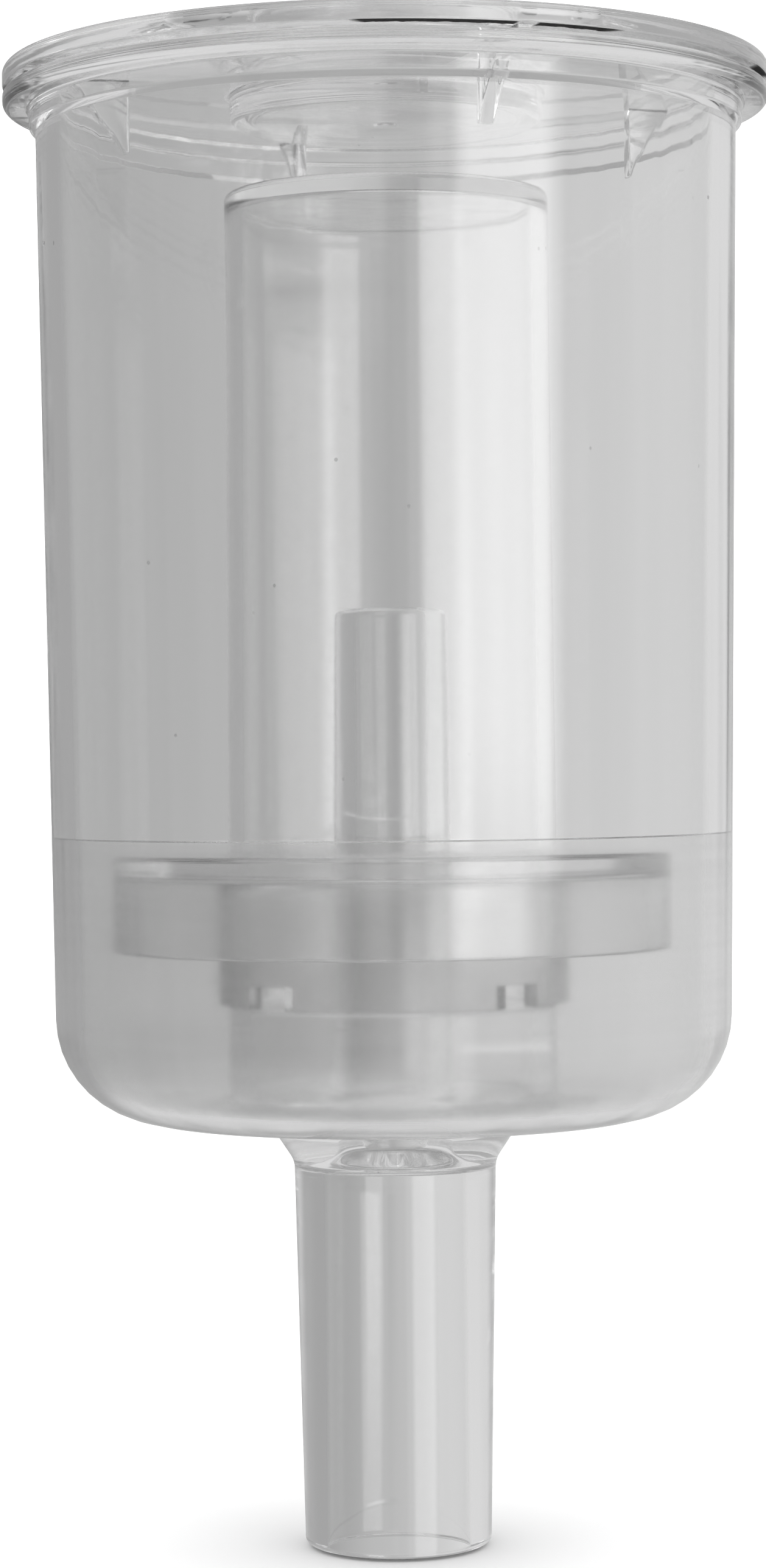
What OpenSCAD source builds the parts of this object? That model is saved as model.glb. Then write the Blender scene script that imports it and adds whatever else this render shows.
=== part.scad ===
// Three-piece bubbling airlock, clear moulded plastic, millimetres.
// Origin at the centre of the stem's tip, +Z up along the axis.

/* [Stem] */
// Length of the tapered stem, tip to neck
stem_len = 24.3; // [18:0.1:32]
// Outside radius at the stem's tip
stem_tip_r = 5.9; // [5.4:0.05:7.2]
// How much wider the stem's radius is at its root
stem_draft = 0.5; // [0:0.05:1]
// Thickness of the stem's wall at its tip
stem_wall = 1.4; // [1:0.05:2]
// Rounding of the tip's outer edge
tip_round = 0.35; // [0.1:0.05:0.5]

/* [Neck] */
// Height of the flare between stem and floor
neck_h = 2.8; // [2:0.1:5]
// How far the flare stands out from the stem at the floor
neck_out = 1.85; // [1:0.05:3]

/* [Cup] */
// Outside radius just under the collar
cup_top_r = 22.1; // [18:0.1:27]
// How much narrower the cup's radius is at its bottom corner
cup_draft = 0.7; // [0:0.05:1.2]
// Height from the cup's underside to its collar
cup_h = 62.1; // [50:0.1:78]
// Thickness of the cup's side wall
cup_wall = 1.45; // [1:0.05:2]
// Thickness of the cup's floor
floor_t = 1.2; // [0.9:0.05:2]
// Radius of the rounded bottom corner
corner_r = 7.1; // [4:0.1:9]
// Height of the fill line above the underside
fill_h = 18; // [12:0.1:26]
// Depth of the step that marks the fill line
fill_step = 0.12; // [0.05:0.01:0.3]

/* [Rim] */
// How far the collar stands out from the cup
collar_out = 0.4; // [0.2:0.05:1]
// Height of the collar
collar_h = 1.5; // [0.8:0.1:3]
// How far the flange stands out from the collar
flange_out = 1.65; // [1:0.05:3]
// Thickness of the flange
flange_t = 1.1; // [0.8:0.05:2]
// Rounding of the flange's lower edge
flange_round = 0.45; // [0.1:0.05:0.6]

/* [Riser] */
// Height of the riser tube above the floor
riser_h = 31.2; // [22:0.1:38]
// Outside radius of the riser at its top
riser_top_r = 3.55; // [3:0.05:4.6]
// How much wider the riser's radius is at the floor
riser_draft = 0.45; // [0:0.05:0.8]
// Thickness of the riser's wall at its top
riser_wall = 1.25; // [0.9:0.05:1.6]

/* [Seat] */
// Height of the seat ring above the floor
seat_h = 6; // [3:0.1:9]
// Thickness of the seat ring's wall
seat_t = 1.45; // [1:0.05:2]
// How far the ring reaches under the float's lower edge
seat_lap = 0.45; // [0.3:0.05:0.8]

/* [Float] */
// Height that the float can rise before it meets the lid
float_rise = 4.4; // [3:0.1:6]
// Outside radius of the bell at its shoulder
bell_low_r = 10.5; // [8.7:0.05:12.6]
// How much narrower the bell's radius is at its top
bell_draft = 0.2; // [0:0.05:0.5]
// Thickness of the bell's wall
bell_wall = 1.1; // [0.8:0.05:1.6]
// Thickness of the bell's closed top
bell_cap_t = 1; // [0.8:0.05:2]
// How much wider the tube under the shoulder is than the bell
tube_step = 0.6; // [0.3:0.05:1]
// Height of that tube, lower edge to the shoulder's underside
tube_h = 8.35; // [6:0.05:11]
// Thickness of the shoulder plate
shoulder_t = 1.3; // [0.8:0.05:2]
// Radial gap between the skirt and the cup's wall
skirt_gap = 2.23; // [1.5:0.01:3]
// Height of the skirt, shoulder's top to its lower edge
skirt_h = 6.2; // [4:0.05:9]
// Width of the notches in the float's lower edge
notch_w = 3; // [1.5:0.1:5]
// Height of the notches
notch_h = 1.5; // [0.5:0.1:3]
// Number of notches
notch_n = 4; // [2:1:8]

/* [Lid] */
// Thickness of the lid's rim
lid_t = 1.3; // [1:0.05:2.5]
// Open height of the vent slit between lid and flange
vent_gap = 0.3; // [0.2:0.05:0.8]
// How far the lid's middle reaches below its rim
register_h = 0.45; // [0.2:0.05:1.5]
// Radius of the boss in the lid's middle
boss_r = 9.9; // [6:0.1:12]
// How far the boss hangs below the rim's underside
boss_h = 2.2; // [1:0.1:3.5]
// Number of locating fins
fin_n = 4; // [3:1:8]
// Turn of the fins around the axis, degrees from +X
fin_turn = 20; // [0:0.5:120]
// How far the fins reach below the lid's middle
fin_h = 4.35; // [2:0.05:6]
// Radial length of a fin at its top
fin_len = 3.6; // [2:0.05:6]
// Thickness of a fin
fin_t = 1; // [0.6:0.05:1.6]
// Rounding of the lid's outer edges
lid_round = 0.5; // [0.1:0.05:0.5]

/* [Fits] */
// Gap between the float's lower edge and its seat at rest
seat_gap = 0.15; // [0.05:0.05:0.3]
// Gap between the lid's pads and the flange at rest
pad_gap = 0.05; // [0.02:0.01:0.1]
// Radial gap between the cup's mouth and the lid's fins
mouth_gap = 0.25; // [0.15:0.05:0.6]

/* [Hidden] */
$fn = 96;
// How far fins and pads run into the lid
sink = 0.3;
arc_steps = 8;
shell_col = [0.86, 0.88, 0.90, 0.45];
float_col = [0.80, 0.83, 0.86, 0.55];
lid_col = [0.83, 0.86, 0.89, 0.5];

// Heights of the body, from the stem's tip up
z_under = stem_len + neck_h;
z_floor = z_under + floor_t;
z_fill = z_under + fill_h;
z_collar = z_under + cup_h;
z_flange = z_collar + collar_h;
z_mouth = z_flange + flange_t;
z_seat = z_floor + seat_h;
z_riser = z_floor + riser_h;
z_corner = z_under + corner_r;

// Radii of the body
stem_root_r = stem_tip_r + stem_draft;
stem_bore_r = stem_tip_r - stem_wall;
neck_r = stem_root_r + neck_out;
cup_low_r = cup_top_r - cup_draft;
riser_base_r = riser_top_r + riser_draft;
riser_bore_r = riser_top_r - riser_wall;
collar_r = cup_top_r + collar_out;
flange_r = collar_r + flange_out;
mouth_r = cup_top_r - cup_wall;
inner_low_r = cup_low_r - cup_wall;
inner_corner_r = corner_r - cup_wall;
// Chamfer on the edges beside the vent slit
edge_break = 0.15;
riser_lip = (riser_top_r - riser_bore_r) / 3;
throat_h = stem_bore_r - riser_bore_r;

// Heights and radii of the lid
z_rim = z_mouth + vent_gap;
z_lid_top = z_rim + lid_t;
z_middle = z_rim - register_h;
z_boss = z_rim - boss_h;
z_dish = z_boss + lid_t;
dish_r = boss_r - lid_t;
fin_inset = 0.1;
pad_inset = 0.3;
register_r = mouth_r - mouth_gap;
fin_in_r = register_r - fin_inset - fin_len;
fin_tip = 0.3;
pad_in_r = mouth_r + pad_inset;
pad_out_r = flange_r - lid_round;
pad_h = vent_gap - pad_gap;

// Heights and radii of the float, which stands on the seat and rises to the lid's boss
z_float = z_seat + seat_gap;
z_shoulder_low = z_float + tube_h;
z_shoulder = z_shoulder_low + shoulder_t;
z_skirt = z_shoulder - skirt_h;
z_float_top = z_boss - float_rise;
bell_top_r = bell_low_r - bell_draft;
tube_r = bell_low_r + tube_step;
tube_in_r = tube_r - bell_wall;
seat_r = tube_in_r + seat_lap;
skirt_r = inner_low_r - fill_step - skirt_gap;
bell_round = 0.35;
skirt_round = 0.3;
notch_turn = 45;
// How far a cutting block runs past what it cuts
cut = 1;

// Outside radius of the cup at a height, and the radius of its inner face
function cup_r(z) = cup_low_r + (cup_top_r - cup_low_r) * (z - z_corner) / (z_collar - z_corner);
function cup_in_r(z) = cup_r(z) - cup_wall;

// Points along an arc in the radius and height plane
function arc(r, z, rad, from, to, n = arc_steps) =
    [for (i = [0:n]) let (a = from + (to - from) * i / n) [r + rad * cos(a), z + rad * sin(a)]];

module airlock_profile() {
    polygon(concat(
        [[stem_bore_r, 0]],
        arc(stem_tip_r - tip_round, tip_round, tip_round, -90, 0, 4),
        [[stem_root_r, stem_len]],
        [[neck_r, z_under]],
        arc(cup_low_r - corner_r, z_corner, corner_r, -90, 0),
        [[cup_top_r, z_collar]],
        [[collar_r, z_collar + collar_out]],
        [[collar_r, z_flange]],
        arc(flange_r - flange_round, z_flange + flange_round, flange_round, -90, 0, 4),
        [[flange_r, z_mouth - edge_break]],
        [[flange_r - edge_break, z_mouth]],
        [[mouth_r, z_mouth]],
        [[cup_in_r(z_fill), z_fill]],
        [[cup_in_r(z_fill) - fill_step, z_fill]],
        arc(inner_low_r - fill_step - inner_corner_r, z_floor + inner_corner_r, inner_corner_r, 0, -90),
        [[seat_r, z_floor]],
        [[seat_r, z_seat]],
        [[seat_r - seat_t, z_seat]],
        [[seat_r - seat_t, z_floor]],
        [[riser_base_r, z_floor]],
        [[riser_top_r, z_riser - riser_lip]],
        [[riser_top_r - riser_lip, z_riser]],
        [[riser_bore_r, z_riser]],
        [[riser_bore_r, stem_len + throat_h]],
        [[stem_bore_r, stem_len]]
    ));
}

// Cup, flange, riser, seat ring and stem, one moulding
module airlock_body() {
    color(shell_col) rotate_extrude() airlock_profile();
}

module float_profile() {
    polygon(concat(
        [[tube_in_r, z_float]],
        [[tube_r, z_float]],
        [[tube_r, z_shoulder_low]],
        [[skirt_r - bell_wall, z_shoulder_low]],
        [[skirt_r - bell_wall, z_skirt]],
        [[skirt_r, z_skirt]],
        arc(skirt_r - skirt_round, z_shoulder - skirt_round, skirt_round, 0, 90, 3),
        [[bell_low_r, z_shoulder]],
        arc(bell_top_r - bell_round, z_float_top - bell_round, bell_round, 0, 90, 3),
        [[0, z_float_top]],
        [[0, z_float_top - bell_cap_t]],
        [[bell_top_r - bell_wall, z_float_top - bell_cap_t]],
        [[bell_low_r - bell_wall, z_shoulder_low]],
        [[tube_in_r, z_shoulder_low - (tube_in_r - bell_low_r + bell_wall)]]
    ));
}

// Inverted bell with a hollow skirt that floats on the water
module float_bell() {
    color(float_col) difference() {
        rotate_extrude() float_profile();
        for (i = [0:notch_n - 1])
            rotate([0, 0, notch_turn + i * 360 / notch_n])
                translate([tube_in_r - cut, -notch_w / 2, z_float - cut])
                    cube([tube_r - tube_in_r + 2 * cut, notch_w, notch_h + cut]);
    }
}

module lid_profile() {
    polygon(concat(
        [[0, z_boss]],
        arc(boss_r - lid_round, z_boss + lid_round, lid_round, -90, 0, 3),
        [[boss_r, z_middle]],
        [[register_r, z_middle]],
        [[register_r, z_rim]],
        [[flange_r - edge_break, z_rim]],
        [[flange_r, z_rim + edge_break]],
        arc(flange_r - lid_round, z_lid_top - lid_round, lid_round, 0, 90, 4),
        [[dish_r, z_lid_top]],
        [[dish_r, z_dish]],
        [[0, z_dish]]
    ));
}

// Triangular fin that guides the lid into the cup's mouth
module lid_fin() {
    rotate([90, 0, 0]) translate([0, 0, -fin_t / 2]) linear_extrude(fin_t) polygon([
        [fin_in_r, z_middle - fin_h],
        [fin_in_r + fin_tip, z_middle - fin_h],
        [fin_in_r + fin_len, z_middle],
        [fin_in_r + fin_len, z_middle + sink],
        [fin_in_r, z_middle + sink]
    ]);
}

// Pad that holds the vent slit open
module lid_pad() {
    translate([pad_in_r, -fin_t / 2, z_rim - pad_h])
        cube([pad_out_r - pad_in_r, fin_t, pad_h + sink]);
}

// Lid that rests on the flange and lets the gas out all round
module vent_lid() {
    color(lid_col) union() {
        rotate_extrude() lid_profile();
        for (i = [0:fin_n - 1]) rotate([0, 0, fin_turn + i * 360 / fin_n]) {
            lid_fin();
            lid_pad();
        }
    }
}

airlock_body();
float_bell();
vent_lid();
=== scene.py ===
import math

import bpy
from mathutils import Matrix, Vector


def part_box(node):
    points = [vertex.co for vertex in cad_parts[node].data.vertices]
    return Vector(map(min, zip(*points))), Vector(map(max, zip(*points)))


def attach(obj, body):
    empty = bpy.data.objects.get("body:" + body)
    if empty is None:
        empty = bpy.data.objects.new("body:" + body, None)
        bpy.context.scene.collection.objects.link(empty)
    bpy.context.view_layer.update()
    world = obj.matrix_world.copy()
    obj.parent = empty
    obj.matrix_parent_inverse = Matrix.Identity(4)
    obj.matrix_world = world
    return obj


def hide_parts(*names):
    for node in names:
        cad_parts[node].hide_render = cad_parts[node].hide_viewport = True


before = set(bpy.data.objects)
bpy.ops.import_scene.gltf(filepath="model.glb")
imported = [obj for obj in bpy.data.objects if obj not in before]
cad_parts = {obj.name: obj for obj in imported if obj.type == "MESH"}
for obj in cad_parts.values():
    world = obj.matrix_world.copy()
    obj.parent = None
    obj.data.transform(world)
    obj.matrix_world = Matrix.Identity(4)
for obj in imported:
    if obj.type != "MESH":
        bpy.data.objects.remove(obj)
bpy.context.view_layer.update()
mm = 0.001
mergeGap = 0.002  # mm, points closer than this become one
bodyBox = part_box("airlock_body")
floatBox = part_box("float_bell")
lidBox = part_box("vent_lid")


# shader maths: a wire carries a socket, a board holds the node tree

class Wire:
    def __init__(self, board, socket):
        self.board, self.socket = board, socket

    def to(self, operation, *others):
        sockets = {i + 1: o for i, o in enumerate(others)}
        return self.board.add("ShaderNodeMath", {"operation": operation}, {0: self, **sockets})

    def __add__(self, other):
        return self.to("ADD", other)

    def __sub__(self, other):
        return self.to("SUBTRACT", other)

    def __mul__(self, other):
        return self.to("MULTIPLY", other)

    def __rsub__(self, other):
        return self * -1 + other

    __radd__ = __add__
    __rmul__ = __mul__

    def __abs__(self):
        return self.to("ABSOLUTE")

    def out(self, name):
        return Wire(self.board, self.socket.node.outputs[name])


class Board:
    def __init__(self, tree):
        self.tree = tree
        tree.nodes.clear()

    def add(self, kind, settings=None, sockets=None, out=0):
        node = self.tree.nodes.new(kind)
        for name, value in (settings or {}).items():
            setattr(node, name, value)
        for name, value in (sockets or {}).items():
            if isinstance(value, Wire):
                self.tree.links.new(value.socket, node.inputs[name])
            else:
                node.inputs[name].default_value = value
        return Wire(self, node.outputs[out]) if len(node.outputs) else node

    def step(self, value, low, high, start=0.0, end=1.0):
        return self.add("ShaderNodeMapRange", {"interpolation_type": "SMOOTHSTEP"},
                        {"Value": value, "From Min": low, "From Max": high, "To Min": start, "To Max": end})


# shaping helpers

def clearSelection():
    if bpy.context.object and bpy.context.object.mode != "OBJECT":
        bpy.ops.object.mode_set(mode="OBJECT")
    bpy.ops.object.select_all(action="DESELECT")


def pick(mesh, test):
    # vertices that pass the test, with the edges and faces between them, become the selection
    chosen = {v.index for v in mesh.vertices if test(v.co)}
    for v in mesh.vertices:
        v.select = v.index in chosen
    for part in (*mesh.edges, *mesh.polygons):
        part.select = chosen.issuperset(part.vertices)


def roundedOutline(corners, closed, turnPerStep=9.0):
    # corners are (radius, height, rounding) in mm; each rounding becomes an arc that touches both sides
    points, count = [], len(corners)
    for i, (r, z, rounding) in enumerate(corners):
        here = Vector((r, z))
        if rounding <= 0 or (not closed and i in (0, count - 1)):
            points.append(here)
            continue
        before = Vector(corners[i - 1][:2]) - here
        after = Vector(corners[(i + 1) % count][:2]) - here
        opening = before.angle(after)
        turn = math.pi - opening
        reach = rounding / math.tan(opening / 2)
        reach = min(reach, 0.49 * before.length, 0.49 * after.length)
        radius = reach * math.tan(opening / 2)
        halfway = (before.normalized() + after.normalized()).normalized()
        middle = here + halfway * radius / math.sin(opening / 2)
        start = here + before.normalized() * reach - middle
        end = here + after.normalized() * reach - middle
        steps = max(2, math.ceil(math.degrees(turn) / turnPerStep))
        for k in range(steps + 1):
            share = k / steps
            blended = start * math.sin((1 - share) * turn) + end * math.sin(share * turn)
            points.append(middle + blended / math.sin(turn))
    return points


def lathe(name, corners, closed, steps=192):
    # one vertex is drawn along the outline, and the outline is spun once round the axis
    points = roundedOutline(corners, closed)
    if closed:
        points.append(points[0])
    clearSelection()
    bpy.ops.mesh.primitive_plane_add(size=mm)
    piece = bpy.context.object
    piece.name = name
    bpy.ops.object.mode_set(mode="EDIT")
    bpy.ops.mesh.select_mode(type="VERT")
    bpy.ops.mesh.merge(type="CENTER")
    bpy.ops.transform.translate(value=(points[0].x * mm, 0, points[0].y * mm))
    for here, there in zip(points, points[1:]):
        move = (there - here) * mm
        bpy.ops.mesh.extrude_vertices_move(TRANSFORM_OT_translate={"value": (move.x, 0, move.y)})
    bpy.ops.mesh.select_all(action="SELECT")
    bpy.ops.mesh.remove_doubles(threshold=mergeGap * mm)
    bpy.ops.mesh.spin(steps=steps, angle=2 * math.pi, center=(0, 0, 0), axis=(0, 0, 1))
    bpy.ops.mesh.select_all(action="SELECT")
    bpy.ops.mesh.remove_doubles(threshold=mergeGap * mm)
    bpy.ops.mesh.normals_make_consistent(inside=False)
    bpy.ops.object.mode_set(mode="OBJECT")
    return piece


def block(name, low, high, turn=0.0, wedge=None, edge=0.0):
    # a box between two corners in mm, its edges bevelled, turned round the axis by degrees
    clearSelection()
    middle = [(a + b) / 2 * mm for a, b in zip(low, high)]
    bpy.ops.mesh.primitive_cube_add(size=1, location=middle,
                                    scale=[(b - a) * mm for a, b in zip(low, high)])
    piece = bpy.context.object
    piece.name = name
    bpy.ops.object.transform_apply(location=True, rotation=True, scale=True)
    if wedge:
        pick(piece.data, lambda co: co.x > middle[0] and co.z < middle[2])
        bpy.ops.object.mode_set(mode="EDIT")
        bpy.ops.transform.translate(value=(wedge * mm, 0, 0))
        bpy.ops.object.mode_set(mode="OBJECT")
    if edge:
        bpy.ops.object.mode_set(mode="EDIT")
        bpy.ops.mesh.select_all(action="SELECT")
        bpy.ops.mesh.bevel(offset=edge * mm, segments=3, affect="EDGES")
        bpy.ops.object.mode_set(mode="OBJECT")
    piece.rotation_euler = (0, 0, math.radians(turn))
    bpy.ops.object.transform_apply(location=True, rotation=True, scale=True)
    return piece


def combine(piece, tools, operation):
    for tool in tools:
        cutter = piece.modifiers.new("combine", "BOOLEAN")
        cutter.operation = operation
        cutter.solver = "EXACT"
        cutter.object = tool
        clearSelection()
        piece.select_set(True)
        bpy.context.view_layer.objects.active = piece
        bpy.ops.object.modifier_apply(modifier=cutter.name)
        bpy.data.objects.remove(tool)
    return piece


def smooth(piece, angle=32):
    clearSelection()
    piece.select_set(True)
    bpy.context.view_layer.objects.active = piece
    bpy.ops.object.shade_smooth_by_angle(angle=math.radians(angle))


# the airlock's body: cup, flange, seat ring, riser, neck and stem

cup = {
    "stemLength": 24.3, "tipRadius": 5.9, "rootRadius": 6.4, "boreRadius": 4.5,
    "neckHeight": 2.8, "neckRadius": 8.25,
    "lowRadius": 21.31, "topRadius": 22.1, "wall": 1.45, "floor": 1.2, "corner": 7.1,
    "fillHeight": 18.0, "fillStep": 0.12,
    "collarRadius": 22.5, "collarHeight": 1.5, "collarSlope": 0.4, "flange": 1.1,
    "seatRadius": 10.45, "seatHeight": 6.0,
    "riserHeight": 31.2, "riserTop": 3.55, "riserBase": 4.0, "riserBore": 2.3, "throat": 2.2,
}


def cupOutline():
    rim, mouth = bodyBox[1].x / mm, bodyBox[1].z / mm
    underside = cup["stemLength"] + cup["neckHeight"]
    floor, flange = underside + cup["floor"], mouth - cup["flange"]
    collar = flange - cup["collarHeight"]
    seat, riser, fill = floor + cup["seatHeight"], floor + cup["riserHeight"], underside + cup["fillHeight"]
    share = (fill - underside) / (collar - underside)
    atFill = cup["lowRadius"] + (cup["topRadius"] - cup["lowRadius"]) * share - cup["wall"]
    return [
        (cup["boreRadius"], 0, 0.2), (cup["tipRadius"], 0, 0.4),
        (cup["rootRadius"], cup["stemLength"], 1.6), (cup["neckRadius"], underside, 0.5),
        (cup["lowRadius"], underside, cup["corner"]),
        (cup["topRadius"], collar, 0.1), (cup["collarRadius"], collar + cup["collarSlope"], 0.25),
        (cup["collarRadius"], flange, 0.2), (rim, flange, 0.5), (rim, mouth, 0.3),
        (cup["topRadius"] - cup["wall"], mouth, 0.2),
        (atFill, fill, 0), (atFill - cup["fillStep"], fill - 0.1, 0),
        (cup["lowRadius"] - cup["wall"] - cup["fillStep"], floor, cup["corner"] - cup["wall"]),
        (cup["seatRadius"], floor, 0.45), (cup["seatRadius"], seat, 0.2),
        (cup["seatRadius"] - cup["wall"], seat, 0.2), (cup["seatRadius"] - cup["wall"], floor, 0.45),
        (cup["riserBase"], floor, 0.7), (cup["riserTop"], riser, 0.5), (cup["riserBore"], riser, 0.2),
        (cup["riserBore"], cup["stemLength"] + cup["throat"], 1.4),
        (cup["boreRadius"], cup["stemLength"], 1.4),
    ]


def makeBody():
    body = lathe("clearBody", cupOutline(), closed=True, steps=256)
    smooth(body)
    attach(body, "cup")
    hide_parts("airlock_body")
    return body


# the float: closed bell, shoulder, hollow skirt and notched lower tube

bell = {
    "topRadius": 10.3, "lowRadius": 10.5, "wall": 1.1, "cap": 1.0,
    "tubeRadius": 11.1, "tubeHeight": 8.35, "shoulder": 1.3, "skirtHeight": 6.2,
    "notches": 4, "notchWidth": 3.0, "notchHeight": 1.5, "notchTurn": 45.0, "cutPast": 1.0,
}


def makeFloat():
    low, top, skirt = floatBox[0].z / mm, floatBox[1].z / mm, floatBox[1].x / mm
    under = low + bell["tubeHeight"]
    shoulder = under + bell["shoulder"]
    hem = shoulder - bell["skirtHeight"]
    inside, step = bell["tubeRadius"] - bell["wall"], bell["tubeRadius"] - bell["lowRadius"]
    piece = lathe("floatBell", [
        (0, top, 0), (bell["topRadius"], top, 0.45), (bell["lowRadius"], shoulder, 0.35),
        (skirt, shoulder, 0.4), (skirt, hem, 0.25), (skirt - bell["wall"], hem, 0.25),
        (skirt - bell["wall"], under, 0.4), (bell["tubeRadius"], under, 0.4),
        (bell["tubeRadius"], low, 0.15), (inside, low, 0.15), (inside, under - step, 0.2),
        (bell["lowRadius"] - bell["wall"], under, 0.2),
        (bell["topRadius"] - bell["wall"], top - bell["cap"], 0.4), (0, top - bell["cap"], 0),
    ], closed=False, steps=224)
    past = bell["cutPast"]
    notches = [block("notch" + str(i), (inside - past, -bell["notchWidth"] / 2, low - past),
                     (bell["tubeRadius"] + past, bell["notchWidth"] / 2, low + bell["notchHeight"]),
                     turn=bell["notchTurn"] + i * 360 / bell["notches"]) for i in range(bell["notches"])]
    combine(piece, notches, "DIFFERENCE")
    smooth(piece)
    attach(piece, "float")
    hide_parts("float_bell")
    return piece


# the lid: rim, register, dished boss, fins and pads

lid = {
    "thick": 1.3, "register": 20.4, "registerDrop": 0.45, "bossRadius": 9.9, "bossDrop": 2.2,
    "fins": 4, "finTurn": 20.0, "finInner": 16.7, "finLength": 3.6, "finTip": 0.3, "finThick": 1.0,
    "padInner": 20.95, "padOuter": 23.65, "padHeight": 0.25, "gateRadius": 0.85, "gateDrop": 0.12,
    "sink": 0.35,  # how far the fins and pads reach into the lid
    "finEdge": 0.12, "padEdge": 0.06,
}


def makeLid():
    rim, low, top = lidBox[1].x / mm, lidBox[0].z / mm, lidBox[1].z / mm
    under = top - lid["thick"]
    middle, boss = under - lid["registerDrop"], under - lid["bossDrop"]
    dish, dishRadius = boss + lid["thick"], lid["bossRadius"] - lid["thick"]
    piece = lathe("ventLid", [
        (0, dish, 0), (dishRadius, dish, 0.5), (dishRadius, top, 0.25),
        (rim, top, 0.5), (rim, under, 0.15), (lid["register"], under, 0.05), (lid["register"], middle, 0.1),
        (lid["bossRadius"], middle, 0.3), (lid["bossRadius"], boss, 0.5),
        (lid["gateRadius"], boss, 0.04), (lid["gateRadius"] - 0.15, boss - lid["gateDrop"], 0.05),
        (0, boss - lid["gateDrop"], 0),
    ], closed=False, steps=256)
    extras = []
    for i in range(lid["fins"]):
        turn = lid["finTurn"] + i * 360 / lid["fins"]
        half = lid["finThick"] / 2
        extras.append(block("fin" + str(i), (lid["finInner"], -half, low),
                            (lid["finInner"] + lid["finLength"], half, middle + lid["sink"]),
                            turn=turn, wedge=lid["finTip"] - lid["finLength"], edge=lid["finEdge"]))
        extras.append(block("pad" + str(i), (lid["padInner"], -half, under - lid["padHeight"]),
                            (lid["padOuter"], half, under + lid["sink"]), turn=turn, edge=lid["padEdge"]))
    combine(piece, extras, "UNION")
    smooth(piece)
    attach(piece, "lid")
    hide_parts("vent_lid")
    return piece


# clear moulded polystyrene

looks = {
    "body": {"tint": 0.975, "rough": 0.015, "roughSpread": 0.03, "frost": 0.06,
             "turned": 0.04, "drawn": 0.06, "flow": 6.0},
    "float": {"tint": 0.985, "rough": 0.03, "roughSpread": 0.04, "frost": 0.04,
              "turned": 0.2, "drawn": 0.04, "flow": 4.0, "tubeFrost": 0.12},
    "lid": {"tint": 0.975, "rough": 0.02, "roughSpread": 0.03,
            "turned": 0.08, "drawn": 0.0, "flow": 1.5},
}
plastic = {
    # the dark colour of the dirt specks, also used for the painted shade in the lid's slits
    "index": 1.59, "bump": 0.03, "bumpDepth": 0.0002, "cloudBump": 0.4, "speckDirtAndShade": 0.006,
    # noise cells to a metre: drawn and flow lines run up the walls, turned lines run round them
    "drawnScale": (900, 900, 14), "turnedScale": (25, 25, 2600), "flowScale": (330, 330, 9),
    "cloudScale": 140.0, "cloudRange": (0.35, 0.75),
    "speckScale": 150.0, "speckSize": (0.015, 0.025), "speckDark": 0.4, "speckRough": 0.3,
    "cupTurning": 0.1, "floatTurning": 0.08,  # how far turned lines roughen the matt zones
    "mattSkin": (0.6, 0.8), "fillFade": 0.1, "shoulderFade": 0.2, "hemFade": 0.5,  # mm
}
# painted shade: where and how the slit between the lid's rim and the flange is coloured dark
slitShadeBand = {
    "inner": 23.0, "outer": 24.12, "innerFade": 0.1, "outerFade": 0.08, "ragged": 0.6, "grainScale": 1600.0,
    "padGap": 1.2, "padFade": 0.6, "patchSize": 14.0, "cover": 0.58, "coverFade": 0.02,
    "depth": (0.03, 0.06), "rough": 0.9,
}


def paintSlitShade(board, place, azimuth, z, radius, face):
    # painted shade in the slits under the lid's rim: a dark band all the way round, patchy and broken by
    # the pads
    patches = board.add("ShaderNodeTexNoise", None, {
        "Vector": place, "Scale": 1 / (slitShadeBand["patchSize"] * mm), "Detail": 1.0})
    quarter = 360 / lid["fins"]
    turned = azimuth + (quarter / 2 - lid["finTurn"])
    fromPad = abs(turned.to("FLOORED_MODULO", quarter) - quarter / 2)
    gap, cover, fade = slitShadeBand["padGap"], slitShadeBand["cover"], slitShadeBand["coverFade"]
    along = board.step(fromPad, gap, gap + slitShadeBand["padFade"]) \
        * board.step(patches, cover - fade, cover + fade)
    grain = board.add("ShaderNodeTexNoise", None, {
        "Vector": place, "Scale": slitShadeBand["grainScale"], "Detail": 2.0})
    edge = slitShadeBand["inner"] * mm + grain * (slitShadeBand["ragged"] * mm)
    outer = slitShadeBand["outer"] * mm
    across = board.step(radius - edge, 0.0, slitShadeBand["innerFade"] * mm) \
        * board.step(radius, outer, outer + slitShadeBand["outerFade"] * mm, 1.0, 0.0)
    thin, thick = slitShadeBand["depth"]
    near = board.step(abs(z - face), thin * mm, thick * mm, 1.0, 0.0)
    return along * across * near


def mattInside(board, radius, z):
    # the cup's inside up to the fill line: a thin skin within the rounded lower corner
    corner = cup["corner"]
    under = cup["stemLength"] + cup["neckHeight"]
    level = (under + cup["fillHeight"]) * mm
    across = (radius - (cup["lowRadius"] - corner) * mm).to("MAXIMUM", 0)
    down = ((under + corner) * mm - z).to("MAXIMUM", 0)
    reach = (across * across + down * down).to("SQRT")
    near, far = plastic["mattSkin"]
    return board.step(reach, (corner - near) * mm, (corner - far) * mm) \
        * board.step(z, level, level - plastic["fillFade"] * mm)


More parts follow.
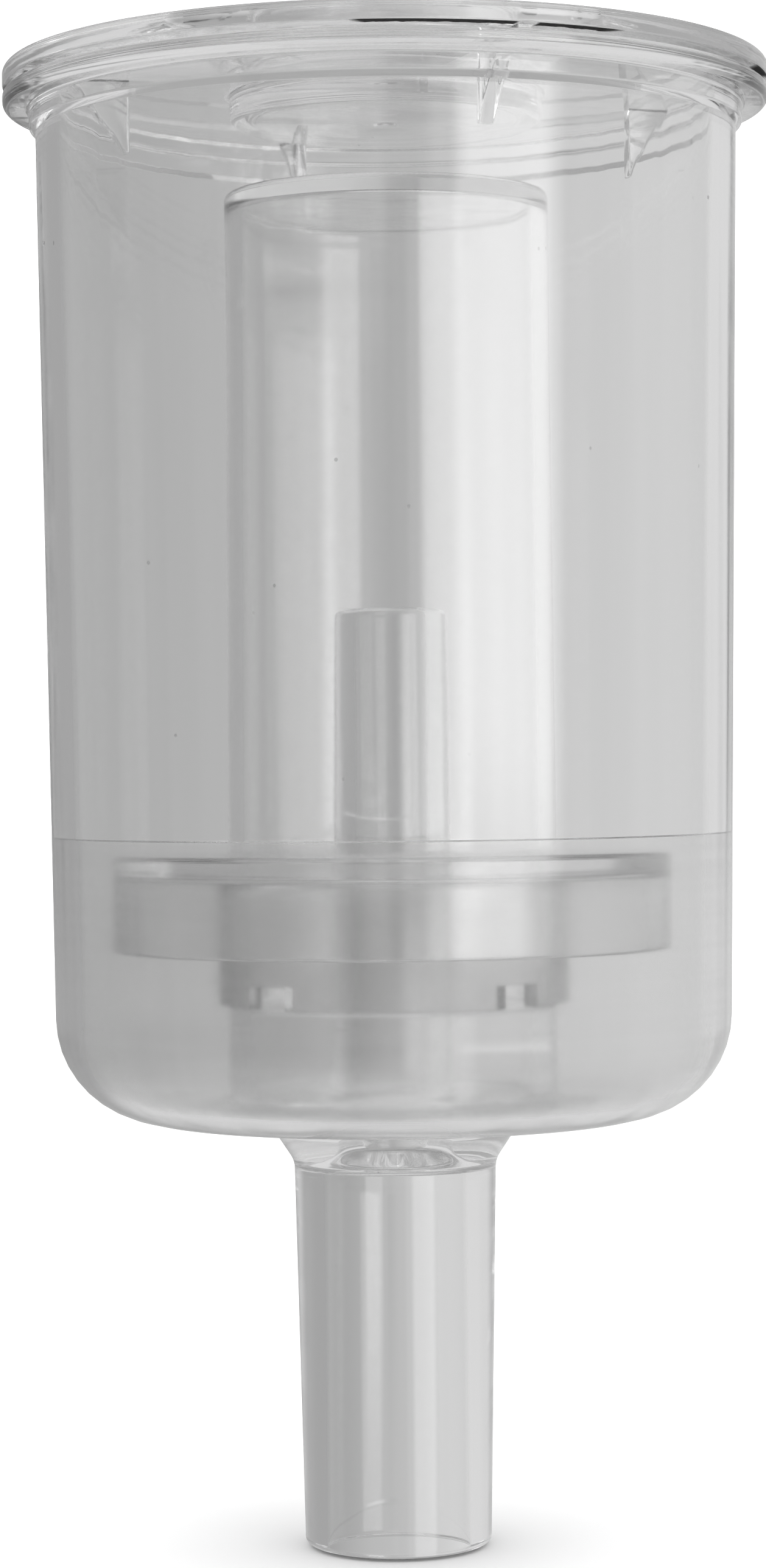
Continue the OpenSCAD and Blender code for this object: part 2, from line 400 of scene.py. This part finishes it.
def clearPlastic(name, look):
    material = bpy.data.materials.new(name)
    material.use_nodes = True
    board = Board(material.node_tree)
    place = board.add("ShaderNodeTexCoord").out("Object")
    parts = board.add("ShaderNodeSeparateXYZ", None, {"Vector": place})
    x, y, z = parts.out("X"), parts.out("Y"), parts.out("Z")
    radius = (x * x + y * y).to("SQRT")
    drawnAt = board.add("ShaderNodeMapping", None, {"Vector": place, "Scale": plastic["drawnScale"]})
    drawn = board.add("ShaderNodeTexNoise", None, {"Vector": drawnAt, "Scale": 1.0, "Detail": 3.0})
    turnedAt = board.add("ShaderNodeMapping", None, {"Vector": place, "Scale": plastic["turnedScale"]})
    turned = board.add("ShaderNodeTexNoise", None, {"Vector": turnedAt, "Scale": 1.0, "Detail": 2.0})
    flowAt = board.add("ShaderNodeMapping", None, {"Vector": place, "Scale": plastic["flowScale"]})
    flow = board.add("ShaderNodeTexNoise", None, {
        "Vector": flowAt, "Scale": 1.0, "Detail": 1.5, "Roughness": 0.4})
    cloud = board.add("ShaderNodeTexNoise", None, {
        "Vector": place, "Scale": plastic["cloudScale"], "Detail": 4.0})
    specks = board.add("ShaderNodeTexVoronoi", None, {"Vector": place, "Scale": plastic["speckScale"]})
    speck = board.step(specks, *plastic["speckSize"], 1.0, 0.0)
    waviness = drawn * look["drawn"] + turned * look["turned"] + cloud * plastic["cloudBump"] \
        + flow * look["flow"]
    bump = board.add("ShaderNodeBump", None, {
        "Height": waviness, "Strength": plastic["bump"], "Distance": plastic["bumpDepth"]})
    rough = board.step(cloud, *plastic["cloudRange"], look["rough"], look["rough"] + look["roughSpread"])
    speckDirtAndShade = speck * plastic["speckDark"]
    if name == "clear_body":
        rough = rough + mattInside(board, radius, z) * (turned * plastic["cupTurning"] + look["frost"])
    if name == "clear_float":  # the skirt and the lower tube are matt, with fine turning lines
        shoulder = floatBox[0].z + (bell["tubeHeight"] + bell["shoulder"]) * mm
        hem = shoulder - bell["skirtHeight"] * mm
        fade = plastic["shoulderFade"] * mm
        matt = board.step(z, shoulder - fade, shoulder + fade, 1.0, 0.0)
        lower = board.step(z, hem - plastic["hemFade"] * mm, hem, 1.0, 0.0)
        rough = rough + matt * (turned * plastic["floatTurning"] + look["frost"]) \
            + lower * look["tubeFrost"]
    if name == "clear_lid":
        azimuth = x.to("ARCTAN2", y * -1) * (180 / math.pi)
        # painted shade: darkens the lid's colour in the slits over the flange
        slitShadeMask = paintSlitShade(board, place, azimuth, z, radius, lidBox[1].z - lid["thick"] * mm)
        speckDirtAndShade = speckDirtAndShade.to("MAXIMUM", slitShadeMask)
        rough = rough + slitShadeMask * slitShadeBand["rough"]  # the painted slit shade is made matt as well
    # dark specks are dirt; on the lid the same dark colour also paints shade into the slits
    tint, dark = (look["tint"],) * 3 + (1,), (plastic["speckDirtAndShade"],) * 3 + (1,)
    shade = board.add("ShaderNodeMix", {"data_type": "RGBA"}, {"Factor": speckDirtAndShade, 6: tint, 7: dark}, 2)
    shell = board.add("ShaderNodeBsdfPrincipled", None, {
        "Base Color": shade, "Roughness": rough + speck * plastic["speckRough"],
        "IOR": plastic["index"], "Transmission Weight": 1.0, "Normal": bump})
    board.add("ShaderNodeOutputMaterial", None, {"Surface": shell})
    return material


# studio: pale floor, soft light all round, camera

studio = {
    # the grey surround, darker on the left, and how softly the sides cross
    "left": 0.38, "right": 0.7, "crossing": 0.25,
    # upright panels: start and end in degrees to the right of the camera, and level
    "softBox": (20, 60, 3.0), "darkCard": (-5, 18, 0.08), "edge": 8, "foot": (-9, -5),
    # levels above and below the surround, and the elevations over which they take over
    "above": 0.4, "aboveFrom": (18, 30), "below": 0.72, "belowFrom": (-30, -18),
    "white": 1.5,  # what the camera and the floor see
}
overheadCard = {"level": 0.35, "halfWidth": 100, "low": 30, "high": 80, "edge": 6, "lowEdge": 3}


def makeWorld():
    world = bpy.data.worlds.new("studioWorld")
    bpy.context.scene.world = world
    world.use_nodes = True
    board = Board(world.node_tree)
    way = board.add("ShaderNodeTexCoord").out("Generated")
    parts = board.add("ShaderNodeSeparateXYZ", None, {"Vector": way})
    x, y, z = parts.out("X"), parts.out("Y"), parts.out("Z")
    azimuth = x.to("ARCTAN2", y * -1) * (180 / math.pi)
    elevation = z.to("ARCTAN2", (x * x + y * y).to("SQRT")) * (180 / math.pi)
    around = board.step(x, -studio["crossing"], studio["crossing"], studio["left"], studio["right"])
    standing = board.step(elevation, *studio["foot"])
    for start, end, panelLevel in (studio["softBox"], studio["darkCard"]):
        panel = board.step(azimuth, start, start + studio["edge"]) \
            * board.step(azimuth, end - studio["edge"], end, 1.0, 0.0) * standing
        around = (1 - panel) * around + panel * panelLevel
    high = board.step(elevation, *studio["aboveFrom"])
    low = board.step(elevation, *studio["belowFrom"], 1.0, 0.0)
    level = around * (1 - high) * (1 - low) + high * studio["above"] + low * studio["below"]
    card = overheadCard
    fromBack = 180 - abs(azimuth)
    overhead = board.step(fromBack, card["halfWidth"], card["halfWidth"] + card["edge"], 1.0, 0.0) \
        * board.step(elevation, card["low"], card["low"] + card["lowEdge"]) \
        * board.step(elevation, card["high"], card["high"] + card["edge"], 1.0, 0.0)
    level = level * (1 - overhead) + overhead * card["level"]
    path = board.add("ShaderNodeLightPath")
    seen = path.out("Is Camera Ray").to("MAXIMUM", path.out("Is Diffuse Ray"))
    grey = board.add("ShaderNodeBackground", None, {"Color": (1, 1, 1, 1), "Strength": level})
    white = board.add("ShaderNodeBackground", None, {"Color": (1, 1, 1, 1), "Strength": studio["white"]})
    mixed = board.add("ShaderNodeMixShader", None, {0: seen, 1: grey, 2: white})
    board.add("ShaderNodeOutputWorld", None, {"Surface": mixed})


paper = {"size": 1.2, "drop": 0.0002, "grainScale": 60.0, "low": 0.93, "high": 0.96, "rough": 0.9}


def makeFloor():
    clearSelection()
    bpy.ops.mesh.primitive_plane_add(size=paper["size"], location=(0, 0, -paper["drop"]))
    floor = bpy.context.object
    floor.name = "studioFloor"
    material = bpy.data.materials.new("paleFloor")
    material.use_nodes = True
    board = Board(material.node_tree)
    place = board.add("ShaderNodeTexCoord").out("Object")
    grain = board.add("ShaderNodeTexNoise", None, {
        "Vector": place, "Scale": paper["grainScale"], "Detail": 3.0})
    low, high = (paper["low"],) * 3 + (1,), (paper["high"],) * 3 + (1,)
    shade = board.add("ShaderNodeMix", {"data_type": "RGBA"}, {"Factor": grain, 6: low, 7: high}, 2)
    sheet = board.add("ShaderNodeBsdfPrincipled", None, {"Base Color": shade, "Roughness": paper["rough"]})
    board.add("ShaderNodeOutputMaterial", None, {"Surface": sheet})
    floor.data.materials.append(material)
    floor.visible_glossy = floor.visible_transmission = False  # the plastic sees the studio, not the floor


skyPanel = {"energy": 0.25, "spread": 60, "tilt": (12, 10, 0)}


def makeLamp():
    data = bpy.data.lights.new("skyPanel", "SUN")
    data.energy = skyPanel["energy"]
    data.angle = math.radians(skyPanel["spread"])
    lamp = bpy.data.objects.new("skyPanel", data)
    bpy.context.scene.collection.objects.link(lamp)
    lamp.rotation_euler = [math.radians(turn) for turn in skyPanel["tilt"]]


view = {"distance": 244.0, "height": 51.0, "side": -0.55, "pitch": -0.67, "roll": -0.55,
        "lens": 88.23, "sensor": 36, "near": 0.01, "far": 20}


def makeCamera():
    data = bpy.data.cameras.new("camera")
    data.sensor_width = view["sensor"]
    data.lens = view["lens"]
    data.clip_start, data.clip_end = view["near"], view["far"]
    camera = bpy.data.objects.new("camera", data)
    bpy.context.scene.collection.objects.link(camera)
    place = Matrix.Translation((view["side"] * mm, -view["distance"] * mm, view["height"] * mm))
    aim = Matrix.Rotation(math.radians(90 + view["pitch"]), 4, "X")
    camera.matrix_world = place @ aim @ Matrix.Rotation(math.radians(view["roll"]), 4, "Z")
    bpy.context.scene.camera = camera


makeWorld()
makeFloor()
makeLamp()
makeCamera()
print("studio ready")
for maker, name in ((makeBody, "body"), (makeFloat, "float"), (makeLid, "lid")):
    made = maker()
    made.data.materials.clear()
    made.data.materials.append(clearPlastic("clear_" + name, looks[name]))
    print(name, "made,", len(made.data.polygons), "faces")

scene = bpy.context.scene
scene.view_settings.view_transform = "Standard"
bounces = 48  # with fewer, the thick ends of the flange turn black
scene.cycles.max_bounces = scene.cycles.transmission_bounces = scene.cycles.glossy_bounces = bounces
